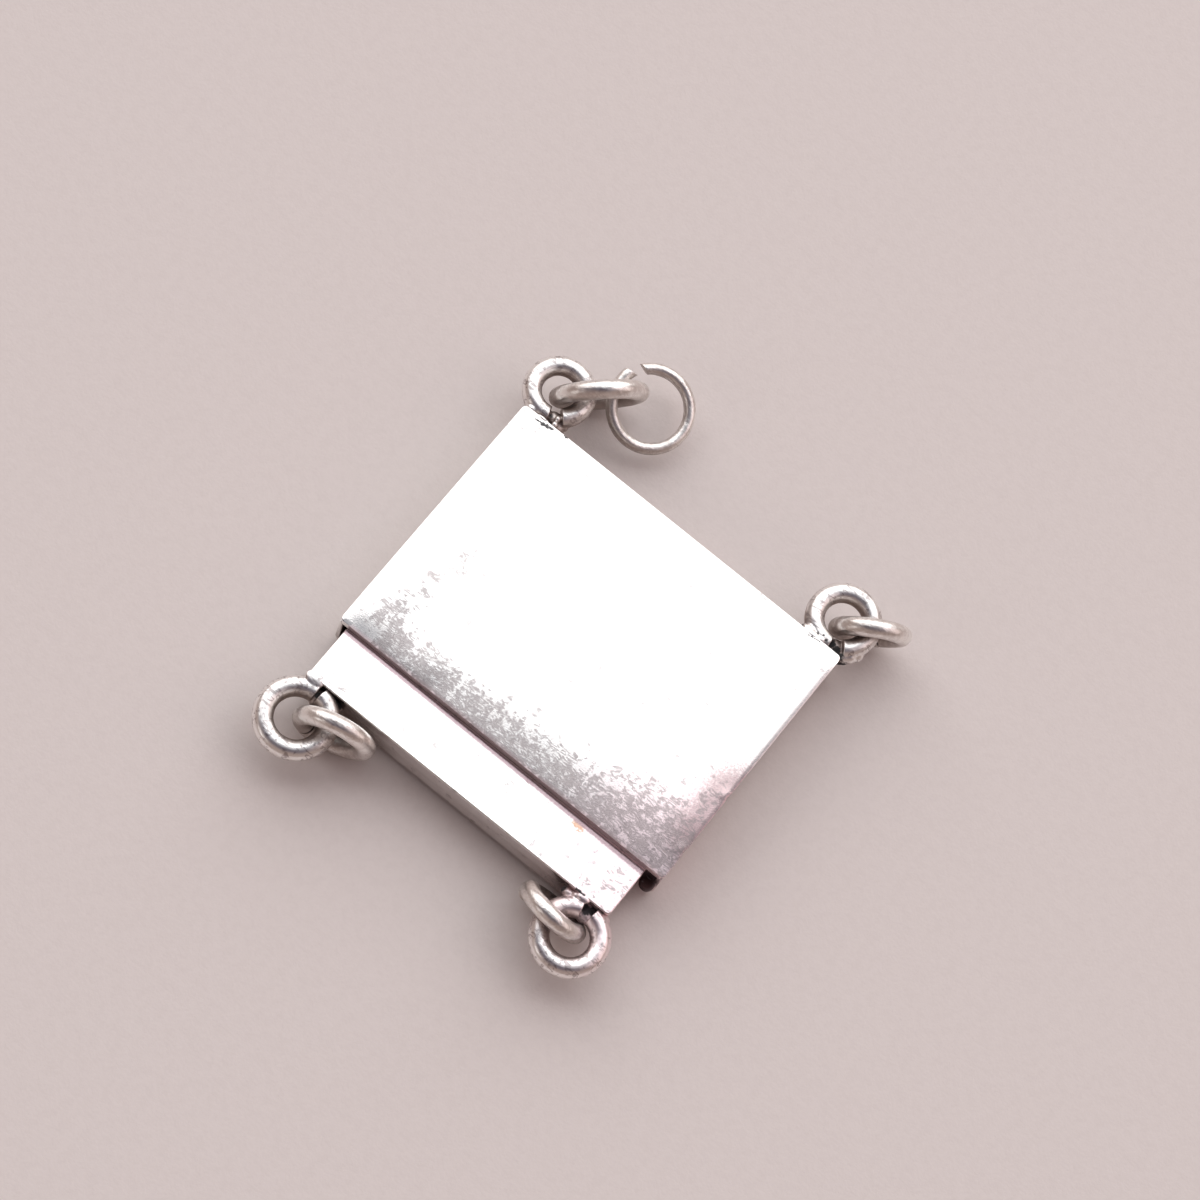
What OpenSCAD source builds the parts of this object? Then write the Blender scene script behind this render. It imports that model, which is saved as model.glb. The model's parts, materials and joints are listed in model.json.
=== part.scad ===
/* [Case] */
// Length of the case, along X
case_w = 18.4; // [16:0.1:26]
// Depth of the case, along Y, from its open mouth to its back
case_d = 13.4; // [10:0.1:20]
// Height of the case
case_h = 3.1; // [2.9:0.1:4.5]
// Thickness of the top plate
plate_t = 0.55; // [0.3:0.05:0.7]
// Thickness of the floor
floor_t = 0.35; // [0.25:0.05:0.45]
// Thickness of the two side walls
side_t = 0.2; // [0.15:0.05:0.35]
// Thickness of the back wall
back_t = 0.4; // [0.25:0.05:0.8]
// Outer radius of the fold between the side walls and the floor
fold_r = 0.45; // [0.4:0.05:0.6]
// Radius of the four upright corners
corner_r = 0.15; // [0.05:0.05:0.3]

/* [Tongue] */
// How far the bar stands out of the mouth
bar_out = 2.74; // [1.5:0.02:4]
// How far the bar reaches into the mouth
bar_in = 1.6; // [1:0.1:3]
// Clearance above and below the bar
bar_gap = 0.08; // [0.05:0.01:0.15]
// Clearance between the bar and the left side wall
bar_side_gap = 0.26; // [0.1:0.02:0.5]
// Thickness of the folded spring leaf
leaf_t = 0.35; // [0.2:0.05:0.45]
// Distance of the leaf from each side wall
leaf_inset = 0.8; // [0.6:0.05:1.5]
// Outer radius of the fold at the nose
nose_r = 0.55; // [0.5:0.01:0.65]
// Clearance between the nose and the back wall
nose_gap = 0.25; // [0.1:0.05:0.6]
// Clearance between the end of the leaf and the bar
catch_gap = 0.15; // [0.1:0.05:0.4]
// Length of the leaf's lower sheet that is soldered into the bar
leaf_sink = 0.5; // [0.3:0.1:0.9]

/* [Release tab] */
// Width of the tab
tab_w = 0.54; // [0.4:0.02:0.7]
// Clearance on each side of the tab
tab_gap = 0.05; // [0.04:0.01:0.08]
// How far the tab's round end stands out of the mouth
tab_out = 0.6; // [0.4:0.05:1]
// Distance of the tab's top from the top of the plate
tab_drop = 1.2; // [1.1:0.05:1.4]
// Length over which the arm steps down to the tab
step_len = 0.9; // [0.6:0.1:1.5]
// Width of the ear that joins the leaf to the arm
ear_w = 1; // [0.6:0.1:2]

/* [Eyes] */
// Outer diameter of the eyes on the case
case_eye_od = 3.58; // [3.3:0.02:4.2]
// Wire of the eyes on the case
case_eye_wire = 0.9; // [0.7:0.02:1]
// Outer diameter of the eyes on the bar
bar_eye_od = 3.88; // [3.6:0.02:4.4]
// Wire of the eyes on the bar
bar_eye_wire = 0.95; // [0.7:0.01:1.05]
// Distance of an eye's centre from the end of what carries it
eye_inset = 0.85; // [0.5:0.05:2]
// Depth to which an eye is sunk into what carries it
solder_sink = 0.15; // [0.12:0.01:0.25]
// Distance of an eye's top from the top of what carries it
eye_drop = 0.1; // [0:0.01:0.3]
// Length of the solder fillet along the wall
solder_w = 1.5; // [1:0.1:1.8]
// Height of the solder fillet
solder_h = 0.6; // [0.3:0.05:0.8]

/* [Jump rings] */
// Outer diameter of a jump ring
ring_od = 3.9; // [3.7:0.05:4.3]
// Wire of the jump rings
ring_wire = 0.92; // [0.6:0.02:0.94]
// Clearance between the rings and what they rest or hang on
ring_gap = 0.08; // [0.05:0.01:0.15]

/* [Open ring] */
// Outer diameter of the thin open ring
open_od = 4.28; // [4:0.02:4.5]
// Wire of the open ring
open_wire = 0.58; // [0.4:0.02:0.6]
// Angle of the gap in the open ring
open_gap = 15; // [8:1:30]
// Distance between its two ends, across the ring
open_shift = 0.3; // [0:0.05:0.6]
// Distance by which one end stands further out
open_splay = 0.12; // [0:0.02:0.3]

/* [Hidden] */
$fn = 64;
silver = "silver";

// Overlap that lets a cut run clear of the face that it opens
over = 1;
half_w = case_w / 2;
mouth_y = -case_d / 2;
back_y = case_d / 2;
ceiling_z = case_h - plate_t;
inner_half = half_w - side_t;

bar_bottom = floor_t + bar_gap;
bar_top = ceiling_z - bar_gap;
bar_front = mouth_y - bar_out;
bar_back = mouth_y + bar_in;
bar_left = -inner_half + bar_side_gap;
bar_right = inner_half - tab_w - 2 * tab_gap;

tab_x = inner_half - tab_gap - tab_w / 2;
tab_top = case_h - tab_drop;

// The leaf runs back along the floor, folds at the nose and rises towards the mouth
nose_y = back_y - back_t - nose_gap - nose_r;
nose_z = bar_bottom + nose_r;
catch_y = bar_back + catch_gap;
catch_z = bar_top;
reach = [catch_y - nose_y, catch_z - nose_z];
leaf_slope = acos(nose_r / norm(reach)) - atan2(-reach[0], reach[1]);
leaf_run = sqrt(norm(reach) ^ 2 - nose_r ^ 2);

// One row for each eye: its side and its end of the clasp, then its shares of
// eye_inset, of the outer diameter on its side, of solder_sink and of eye_drop
eye_side = 0;
eye_end = 1;
eye_inset_share = 2;
eye_od_share = 3;
eye_sink_share = 4;
eye_drop_share = 5;
eyes = [
    [1, -1, 0.91, 0.98, 0.4, 1],
    [1, 1, 1.15, 1.02, 1.4, 1],
    [-1, -1, 0.99, 1.025, 1.1, 0.25],
    [-1, 1, 0.89, 0.975, 1, 0.25]
];

// One row for each jump ring, in the order of the eyes: its turn about Z, its lean,
// the way it lies from the eye, its share of ring_od, and its place in the eye's hole
// along and across its plane, as shares of the hole's radius
ring_turn = 0;
ring_lean = 1;
ring_way = 2;
ring_od_share = 3;
ring_along = 4;
ring_across = 5;
rings = [
    [44, 12, 1, 1.195, 0, -0.23],
    [31, 10.5, 1, 0.995, -0.03, -0.25],
    [13, 1.5, 1, 1.04, 0.22, 0.11],
    [-4.5, 25, -1, 0.95, 0.07, 0.29]
];

// How the open ring lies in the hole of the first jump ring: the way its plane
// leans, the lean, the angle round the ring at which it passes through the hole,
// the angle of its gap, and its place in the hole as shares of the hole's radius
open_turn = -32.2;
open_lean = 17.7;
open_pass = 237;
open_gap_at = 182.5;
open_along = 0.55;
open_up = -0.34;
// Steps along the open ring's wire, and sides round it
open_steps = 40;
open_sides = 10;

function is_back(i) = eyes[i][eye_side] > 0;
function eye_wire(i) = is_back(i) ? case_eye_wire : bar_eye_wire;
function eye_od(i) = (is_back(i) ? case_eye_od : bar_eye_od) * eyes[i][eye_od_share];
function eye_radius(i) = (eye_od(i) - eye_wire(i)) / 2;
function eye_hole(i) = eye_radius(i) - eye_wire(i) / 2;
function eye_wall(i) = is_back(i) ? back_y : bar_front;
function eye_top(i) = (is_back(i) ? case_h : bar_top) - eye_drop * eyes[i][eye_drop_share];
function eye_x(i) = eyes[i][eye_end] < 0
    ? (is_back(i) ? -half_w : bar_left) + eye_inset * eyes[i][eye_inset_share]
    : (is_back(i) ? half_w : bar_right) - eye_inset * eyes[i][eye_inset_share];
function eye_y(i) = eye_wall(i)
    + eyes[i][eye_side] * (eye_od(i) / 2 - solder_sink * eyes[i][eye_sink_share]);
function eye_center(i) = [eye_x(i), eye_y(i), eye_top(i) - eye_wire(i) / 2];

function ring_radius(i) = (ring_od * rings[i][ring_od_share] - ring_wire) / 2;
function ring_hole(i) = ring_radius(i) - ring_wire / 2;
// Unit vectors of a ring: along its plane, across it, and up its leaning plane
function ring_u(i) = [cos(rings[i][ring_turn]), sin(rings[i][ring_turn]), 0];
function ring_v(i) = [-sin(rings[i][ring_turn]), cos(rings[i][ring_turn]), 0];
function ring_w(i) = -sin(rings[i][ring_lean]) * ring_v(i) + [0, 0, cos(rings[i][ring_lean])];
// A ring stands on the ground, or hangs on its eye where it is too small to reach down
function ring_z(i) = max(
    ring_gap + ring_wire / 2 + ring_radius(i) * cos(rings[i][ring_lean]),
    eye_top(i) + ring_gap - ring_hole(i) * cos(rings[i][ring_lean])
);
function ring_rise(i) = (eye_center(i)[2] - ring_z(i))
    / (ring_radius(i) * cos(rings[i][ring_lean]));
function ring_center(i) =
    let (
        eye = eye_center(i),
        rise = ring_rise(i),
        away = rings[i][ring_way] * ring_radius(i) * sqrt(1 - rise ^ 2),
        spot = eye_hole(i) * (rings[i][ring_along] * ring_u(i) + rings[i][ring_across] * ring_v(i)),
        flat = spot + away * ring_u(i)
            + ring_radius(i) * rise * sin(rings[i][ring_lean]) * ring_v(i)
    )
    [eye[0] + flat[0], eye[1] + flat[1], ring_z(i)];

open_radius = (open_od - open_wire) / 2;
open_u = [cos(open_lean) * cos(open_turn), cos(open_lean) * sin(open_turn), -sin(open_lean)];
open_v = [-sin(open_turn), cos(open_turn), 0];
open_place = ring_center(0)
    + ring_hole(0) * (open_along * ring_u(0) + open_up * ring_w(0));
open_center = open_place - open_radius * (cos(open_pass) * open_u + sin(open_pass) * open_v);

// Points of an arc in the YZ plane, with its angle counted from +Y
arc_steps = 16;
function arc(c, r, from, to) = [
    for (i = [0:arc_steps])
        let (a = from + (to - from) * i / arc_steps)
            c + r * [cos(a), sin(a)]
];

module torus(radius, wire) {
    rotate_extrude()
        translate([radius, 0])
            circle(d = wire);
}

// Extrudes an outline drawn in the YZ plane along X, from x0 to x1
module along_x(x0, x1) {
    translate([x0, 0, 0])
        rotate([90, 0, 90])
            linear_extrude(x1 - x0)
                children();
}

// Outline of a box in the XZ plane whose two lower corners are round
module folded_outline(half, low, high, r) {
    polygon(concat(
        [[half, high], [-half, high]],
        arc([-half + r, low + r], r, 180, 270),
        arc([half - r, low + r], r, 270, 360)
    ));
}

module plan(half, y0, y1, r, h) {
    linear_extrude(h)
        polygon(concat(
            arc([half - r, y1 - r], r, 0, 90),
            arc([-half + r, y1 - r], r, 90, 180),
            arc([-half + r, y0 + r], r, 180, 270),
            arc([half - r, y0 + r], r, 270, 360)
        ));
}

// An eye of round wire, soldered on edge to the wall behind it
module eye(i) {
    center = eye_center(i);
    side = eyes[i][eye_side];
    sink = solder_sink * eyes[i][eye_sink_share];
    translate(center)
        torus(eye_radius(i), eye_wire(i));
    translate([center[0], eye_wall(i), center[2] - solder_h / 2])
        linear_extrude(solder_h)
            polygon([
                [-solder_w / 2, -side * sink],
                [solder_w / 2, -side * sink],
                [solder_w / 4, side * eye_wire(i) / 3],
                [-solder_w / 4, side * eye_wire(i) / 3]
            ]);
}

module case() {
    color(silver) {
        difference() {
            intersection() {
                plan(half_w, mouth_y, back_y, corner_r, case_h);
                translate([0, back_y + over, 0])
                    rotate([90, 0, 0])
                        linear_extrude(case_d + 2 * over)
                            folded_outline(half_w, 0, case_h, fold_r);
            }
            translate([0, back_y - back_t, 0])
                rotate([90, 0, 0])
                    linear_extrude(case_d)
                        folded_outline(inner_half, floor_t, ceiling_z, fold_r - side_t);
        }
        for (i = [0, 1])
            eye(i);
    }
}

// The spring leaf in the YZ plane: lower sheet, fold at the nose, rising upper sheet
module leaf_outline() {
    up = 90 - leaf_slope;
    rise = leaf_run * [-cos(leaf_slope), sin(leaf_slope)];
    nose = [nose_y, nose_z];
    top_end = nose + nose_r * [cos(up), sin(up)] + rise;
    under_end = nose + (nose_r - leaf_t) * [cos(up), sin(up)] + rise;
    polygon(concat(
        [[bar_back - leaf_sink, bar_bottom]],
        arc(nose, nose_r, -90, up),
        [top_end, under_end],
        arc(nose, nose_r - leaf_t, up, -90),
        [[bar_back - leaf_sink, bar_bottom + leaf_t]]
    ));
}

// The arm leaves the end of the leaf at the side wall and steps down to the tab
module arm_outline() {
    end_y = catch_y + ear_w;
    step_y = catch_y - step_len;
    arm_top = catch_z - ear_w * tan(leaf_slope);
    polygon([
        [end_y, arm_top],
        [catch_y, arm_top],
        [step_y, tab_top],
        [mouth_y - tab_out + tab_w / 2, tab_top],
        [mouth_y - tab_out + tab_w / 2, tab_top - leaf_t],
        [step_y, tab_top - leaf_t],
        [catch_y, arm_top - leaf_t],
        [end_y, arm_top - leaf_t]
    ]);
}

module tongue() {
    color(silver) {
        translate([bar_left, bar_front, bar_bottom])
            cube([bar_right - bar_left, bar_back - bar_front, bar_top - bar_bottom]);
        for (i = [2, 3])
            eye(i);
        along_x(-inner_half + leaf_inset, inner_half - leaf_inset)
            leaf_outline();
        intersection() {
            along_x(0, tab_x + tab_w / 2)
                leaf_outline();
            translate([inner_half - leaf_inset - over, catch_y, nose_z])
                cube([leaf_inset + over, ear_w, case_h]);
        }
        along_x(tab_x - tab_w / 2, tab_x + tab_w / 2)
            arm_outline();
        translate([tab_x, mouth_y - tab_out + tab_w / 2, tab_top - leaf_t])
            cylinder(d = tab_w, h = leaf_t);
    }
}

module jump_ring(i) {
    color(silver)
        translate(ring_center(i))
            rotate([90 + rings[i][ring_lean], 0, rings[i][ring_turn]])
                torus(ring_radius(i), ring_wire);
}

// A point on the skin of the open ring: share runs along the wire from -0.5 to 0.5,
// side counts round it
function open_skin(share, side) =
    let (
        turn = 180 + share * (360 - open_gap),
        around = 360 * side / open_sides,
        out = open_radius + open_splay * share + open_wire / 2 * cos(around)
    )
    [out * cos(turn), out * sin(turn), open_shift * share + open_wire / 2 * sin(around)];

module open_ring() {
    points = [
        for (i = [0:open_steps])
            for (k = [0:open_sides - 1])
                open_skin(i / open_steps - 0.5, k)
    ];
    skin = [
        for (i = [0:open_steps - 1])
            for (k = [0:open_sides - 1])
                let (
                    a = i * open_sides + k,
                    b = i * open_sides + (k + 1) % open_sides
                )
                    each [
                        [a, a + open_sides, b + open_sides],
                        [a, b + open_sides, b]
                    ]
    ];
    first_end = [for (k = [0:open_sides - 1]) k];
    last_end = [for (k = [open_sides - 1:-1:0]) open_steps * open_sides + k];
    color(silver)
        translate(open_center)
            rotate([0, open_lean, open_turn])
                rotate([0, 0, open_gap_at])
                    polyhedron(points, concat(skin, [first_end, last_end]));
}

case();
tongue();
jump_ring(0);  // ring_back_left
jump_ring(1);  // ring_back_right
jump_ring(2);  // ring_front_left
jump_ring(3);  // ring_front_right
open_ring();
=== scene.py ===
# Looks of the silver box clasp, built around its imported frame
import json
import math

import bpy
from mathutils import Matrix, Vector
from mathutils.bvhtree import BVHTree


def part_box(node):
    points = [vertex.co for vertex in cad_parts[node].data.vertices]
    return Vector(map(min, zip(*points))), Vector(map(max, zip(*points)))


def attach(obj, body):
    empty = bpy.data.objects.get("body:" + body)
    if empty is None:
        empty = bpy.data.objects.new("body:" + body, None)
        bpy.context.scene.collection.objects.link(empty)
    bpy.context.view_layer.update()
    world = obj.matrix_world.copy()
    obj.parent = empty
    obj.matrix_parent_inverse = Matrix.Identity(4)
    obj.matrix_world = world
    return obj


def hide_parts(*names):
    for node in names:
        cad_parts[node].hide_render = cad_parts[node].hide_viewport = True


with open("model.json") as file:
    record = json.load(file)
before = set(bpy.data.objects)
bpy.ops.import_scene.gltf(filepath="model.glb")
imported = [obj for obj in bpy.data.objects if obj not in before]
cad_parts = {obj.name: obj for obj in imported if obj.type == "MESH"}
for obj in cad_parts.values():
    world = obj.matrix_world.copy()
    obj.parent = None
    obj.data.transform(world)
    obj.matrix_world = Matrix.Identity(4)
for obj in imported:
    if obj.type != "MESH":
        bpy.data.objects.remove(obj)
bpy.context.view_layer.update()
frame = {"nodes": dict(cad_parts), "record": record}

# Pieces are modelled in millimetres and brought down to metres once they are finished
mm = 0.001
snug = 0.01         # points closer than this count as being at one place
inLine = 0.0001     # and within this as dead in line
weld = 0.0005       # points closer than this are merged
facing = 0.9        # a face looks along a direction when its normal has this much of it
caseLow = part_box("case")[0] / mm
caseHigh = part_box("case")[1] / mm
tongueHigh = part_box("tongue")[1] / mm


# Small helpers for working on one piece at a time

def clearSelection():
    if bpy.context.mode != "OBJECT":
        bpy.ops.object.mode_set(mode="OBJECT")
    bpy.ops.object.select_all(action="DESELECT")


def only(piece):
    clearSelection()
    piece.select_set(True)
    bpy.context.view_layer.objects.active = piece


def pick(piece, kind, test):
    # leaves the piece in edit mode with just the parts that pass the test selected
    only(piece)
    bpy.ops.object.mode_set(mode="EDIT")
    bpy.ops.mesh.select_mode(type=kind)
    bpy.ops.mesh.select_all(action="DESELECT")
    bpy.ops.object.mode_set(mode="OBJECT")
    mesh = piece.data
    items = {"VERT": mesh.vertices, "EDGE": mesh.edges, "FACE": mesh.polygons}[kind]
    for item in items:
        item.select = test(item)
    bpy.ops.object.mode_set(mode="EDIT")


def edgeEnds(piece, edge):
    return [piece.data.vertices[i].co for i in edge.vertices]


def runsAlong(piece, edge, axis):
    a, b = edgeEnds(piece, edge)
    across = [i for i in range(3) if i != axis]
    return abs(a[axis] - b[axis]) > inLine and all(abs(a[i] - b[i]) < inLine for i in across)


def bevelPicked(width, segments):
    bpy.ops.mesh.bevel(offset=width, offset_type="OFFSET", segments=segments,
                       profile=0.5, affect="EDGES", clamp_overlap=True)


def bevelSharp(piece, width, segments, angle=40):
    only(piece)
    bpy.ops.object.mode_set(mode="EDIT")
    bpy.ops.mesh.select_mode(type="EDGE")
    bpy.ops.mesh.select_all(action="DESELECT")
    bpy.ops.mesh.edges_select_sharp(sharpness=math.radians(angle))
    bevelPicked(width, segments)


def extrude(*move):
    bpy.ops.mesh.extrude_region_move(TRANSFORM_OT_translate={"value": move})


def pull(piece, test, move, reach, falloff="SMOOTH"):
    # proportional edit: the picked points move, and those within reach follow
    pick(piece, "VERT", test)
    bpy.ops.transform.translate(value=move, use_proportional_edit=True,
                                proportional_edit_falloff=falloff, proportional_size=reach)
    bpy.ops.object.mode_set(mode="OBJECT")


def block(name, low, high):
    clearSelection()
    low, high = Vector(low), Vector(high)
    bpy.ops.mesh.primitive_cube_add(size=1, location=(low + high) / 2, scale=high - low)
    piece = bpy.context.object
    piece.name = name
    bpy.ops.object.transform_apply(location=True, rotation=True, scale=True)
    return piece


def recalculate(piece):
    only(piece)
    bpy.ops.object.mode_set(mode="EDIT")
    bpy.ops.mesh.select_all(action="SELECT")
    bpy.ops.mesh.remove_doubles(threshold=weld)
    bpy.ops.mesh.normals_make_consistent(inside=False)
    bpy.ops.object.mode_set(mode="OBJECT")


def modify(piece, kind, **settings):
    only(piece)
    bpy.ops.object.modifier_add(type=kind)
    modifier = piece.modifiers[-1]
    for name, value in settings.items():
        setattr(modifier, name, value)
    bpy.ops.object.modifier_apply(modifier=modifier.name)


def unevenness(name, size):
    texture = bpy.data.textures.new(name, "CLOUDS")
    texture.noise_scale = size
    return texture


def join(name, pieces):
    clearSelection()
    for piece in pieces:
        piece.select_set(True)
    bpy.context.view_layer.objects.active = pieces[0]
    bpy.ops.object.join()
    pieces[0].name = name
    return pieces[0]


def addAttribute(piece, name, values):
    attribute = piece.data.attributes.new(name, "FLOAT", "POINT")
    attribute.data.foreach_set("value", values)


# The camera stands where the photograph was taken from

view = {
    "lean": 0.3363, "turn": 0.0626, "roll": -0.697435,      # radians
    "right": -0.2924, "up": -1.6784, "distance": 188.041,   # mm, from the plate's centre
    "lens": 126, "film": 36, "clip": 5,
}


def addCamera():
    print("camera")
    tip = (Matrix.Rotation(-view["lean"], 3, "X")
           @ Matrix.Rotation(view["turn"], 3, "Y").transposed())
    turned = Matrix.Rotation(view["roll"], 3, "Z") @ tip
    plateTop = Vector((0, 0, caseHigh.z))
    eye = turned.transposed() @ Vector((-view["right"], -view["up"], view["distance"])) + plateTop
    data = bpy.data.cameras.new("camera")
    data.sensor_width = view["film"]
    data.lens = view["lens"]
    data.clip_start = view["clip"] * mm
    camera = bpy.data.objects.new("camera", data)
    bpy.context.scene.collection.objects.link(camera)
    camera.matrix_world = Matrix.Translation(eye * mm) @ turned.transposed().to_4x4()
    bpy.context.scene.camera = camera


addCamera()


# The case: a top plate soldered onto a tray folded from thin sheet

plate = {
    "width": 18.4, "depth": 13.4, "sheet": 0.55, "cell": 0.2, "corner": 0.2, "edge": 0.05,
    # the mouth's edge is rolled down by polishing, and more so near its two ends
    "mouthDrop": 0.11, "mouthReach": 3.5,
    "leftDip": 0.05, "leftDipFrom": -8.1, "leftDipTo": -4.2, "leftDipReach": 1.7,
    "cornerDrop": 0.02, "cornerReach": 5.0,
    "lip": 0.05, "lipReach": 0.3,       # its lower edge is rolled in over the tongue
    "sawnDeep": 0.02, "sawnFrom": -8.7, "sawnTo": 9.05,
    "leftDrop": 0.06, "rightDrop": 0.045, "sideReach": 1.8, "sideEdge": 0.17, "rim": 0.22,
    "backDrop": 0.03, "backReach": 0.7,
    "dip": (-6.2, -4.7), "dipSpot": 0.2, "dipDepth": 0.045, "dipReach": 2.4,
    "wave": 0.004, "waveSize": 2.6,
    "nicks": [(9.2, -5.14), (9.2, -1.92)], "nickSpot": 0.12, "nickDepth": 0.06,
    "nickReach": 0.25, "burr": 0.03, "burrIn": 0.25, "burrReach": 0.35,
}


def isNear(v, x, y, reach):
    return math.hypot(v.co.x - x, v.co.y - y) < reach


def makePlate():
    print("plate")
    top = caseHigh.z
    halfX = plate["width"] / 2
    halfY = plate["depth"] / 2
    under = top - plate["sheet"]
    clearSelection()
    bpy.ops.mesh.primitive_grid_add(
        x_subdivisions=round(plate["width"] / plate["cell"]),
        y_subdivisions=round(plate["depth"] / plate["cell"]), size=1, location=(0, 0, top))
    piece = bpy.context.object
    piece.scale = (plate["width"], plate["depth"], 1)
    bpy.ops.object.transform_apply(location=True, rotation=True, scale=True)
    modify(piece, "DISPLACE", texture=unevenness("plateWave", plate["waveSize"]),
           strength=plate["wave"], mid_level=1.0, texture_coords="LOCAL")
    # narrow rows at the rim keep the rounded edges' shading off the flat
    for axis, half in ((0, halfX), (1, halfY)):
        for side in (-1, 1):
            pick(piece, "VERT", lambda v: abs(side * v.co[axis] - half + plate["cell"]) < snug)
            outward = [0, 0, 0]
            outward[axis] = side * (plate["cell"] - plate["rim"])
            bpy.ops.transform.translate(value=outward)
            bpy.ops.object.mode_set(mode="OBJECT")

    def atMouth(v):
        return v.co.y < -halfY + snug

    def drop(test, depth, reach):
        pull(piece, test, (0, 0, -depth), reach, "SHARP")

    drop(lambda v: v.co.y > halfY - snug, plate["backDrop"], plate["backReach"])
    drop(lambda v: v.co.x < -halfX + snug, plate["leftDrop"], plate["sideReach"])
    drop(lambda v: v.co.x > halfX - snug, plate["rightDrop"], plate["sideReach"])
    drop(atMouth, plate["mouthDrop"], plate["mouthReach"])
    drop(lambda v: atMouth(v) and plate["leftDipFrom"] < v.co.x < plate["leftDipTo"],
         plate["leftDip"], plate["leftDipReach"])
    drop(lambda v: atMouth(v) and v.co.x > halfX - snug,
         plate["cornerDrop"], plate["cornerReach"])
    pull(piece, lambda v: isNear(v, *plate["dip"], plate["dipSpot"]),
         (0, 0, -plate["dipDepth"]), plate["dipReach"])
    # two knocks on the right edge, with a burr thrown up behind each
    for x, y in plate["nicks"]:
        pull(piece, lambda v: isNear(v, x, y, plate["nickSpot"]),
             (-plate["nickDepth"], 0, 0), plate["nickReach"])
        pull(piece, lambda v: isNear(v, x - plate["burrIn"], y, plate["nickSpot"]),
             (0, 0, plate["burr"]), plate["burrReach"], "SHARP")
    pick(piece, "FACE", lambda f: True)
    extrude(0, 0, -plate["sheet"])
    bpy.ops.transform.resize(value=(1, 1, 0), center_override=(0, 0, under))
    recalculate(piece)
    drop(lambda v: atMouth(v) and v.co.z < under + snug, plate["lip"], plate["lipReach"])
    sideX = halfX - 0.1     # the nicked points still count as the side edge
    upperZ = under + 0.2
    shortRun = 0.05
    pick(piece, "EDGE", lambda e: runsAlong(piece, e, 2)
         and abs(edgeEnds(piece, e)[0].x) > sideX
         and abs(edgeEnds(piece, e)[0].y) > halfY - snug)
    bevelPicked(plate["corner"], 3)
    # the long side edges are worn rounder than the mouth's
    pick(piece, "EDGE", lambda e: all(abs(v.x) > sideX and v.z > upperZ
                                      for v in edgeEnds(piece, e))
         and abs(edgeEnds(piece, e)[0].y - edgeEnds(piece, e)[1].y) > shortRun)
    bevelPicked(plate["sideEdge"], 3)
    bevelSharp(piece, plate["edge"], 3)
    bpy.ops.object.mode_set(mode="OBJECT")
    # the sawn face at the mouth stayed matt, and its pink is a painted reflection
    addAttribute(piece, "sawnAndReflection", [
        float(v.co.y < plate["sawnDeep"] - halfY and plate["sawnFrom"] < v.co.x < plate["sawnTo"])
        for v in piece.data.vertices])
    return piece


tray = {
    "inset": 0.03,      # the tray stands back a little under the plate's edge
    "side": 0.2, "floor": 0.35, "back": 0.4, "fold": 0.45, "cavityTop": 2.57, "top": 2.62,
    "seam": 0.025, "edge": 0.035,
}


def makeTray():
    print("tray")
    halfX = plate["width"] / 2 - tray["inset"]
    halfY = plate["depth"] / 2 - tray["inset"]
    piece = block("tray", (-halfX, -halfY, caseLow.z), (halfX, halfY, tray["top"]))
    pick(piece, "EDGE", lambda e: runsAlong(piece, e, 1) and edgeEnds(piece, e)[0].z < snug)
    bevelPicked(tray["fold"], 8)
    # the cavity is pushed in from the mouth, down to the back wall
    pick(piece, "FACE", lambda f: f.normal.y < -facing)
    bpy.ops.mesh.inset(thickness=tray["side"])
    insetTop = tray["top"] - tray["side"]
    stretch = (tray["cavityTop"] - tray["floor"]) / (insetTop - tray["side"])
    bpy.ops.transform.resize(value=(1, 1, stretch), center_override=(0, 0, 0))
    bpy.ops.transform.translate(value=(0, 0, tray["floor"] - stretch * tray["side"]))
    extrude(0, 2 * halfY - tray["back"], 0)
    # the back wall is a piece of sheet let in between the side walls
    pick(piece, "FACE", lambda f: f.normal.y > facing and f.center.y > halfY - snug)
    bpy.ops.mesh.inset(thickness=tray["side"])
    extrude(0, -tray["seam"], 0)
    recalculate(piece)
    bevelSharp(piece, tray["edge"], 2)
    bpy.ops.object.mode_set(mode="OBJECT")
    return piece


# The four eyes: rings of round wire, soldered on edge

eye = {
    "steps": 96, "section": 28, "fuller": 0.03, "wave": 0.03, "waveSize": 0.9,
    "dropSteps": 24, "dropRings": 14, "voxel": 0.04, "round": 4,
    # the cut between the wire's ends, in degrees from the wall's direction towards the right
    "back left": {"at": (-8.4265, 8.3942, 2.55), "across": 3.508, "wire": 0.9, "wall": 6.7,
                  "out": 1, "cut": (15, 41)},
    "back right": {"at": (8.2225, 8.3158, 2.55), "across": 3.652, "wire": 0.9, "wall": 6.7,
                   "out": 1, "cut": (7, 32)},
    "front left": {"at": (-7.8985, -11.2635, 1.97), "across": 3.977, "wire": 0.95, "wall": -9.44,
                   "out": -1, "cut": (0, 9)},
    "front right": {"at": (7.6035, -11.1815, 1.97), "across": 3.783, "wire": 0.95, "wall": -9.44,
                    "out": -1, "cut": (-16, 7)},
}

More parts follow.
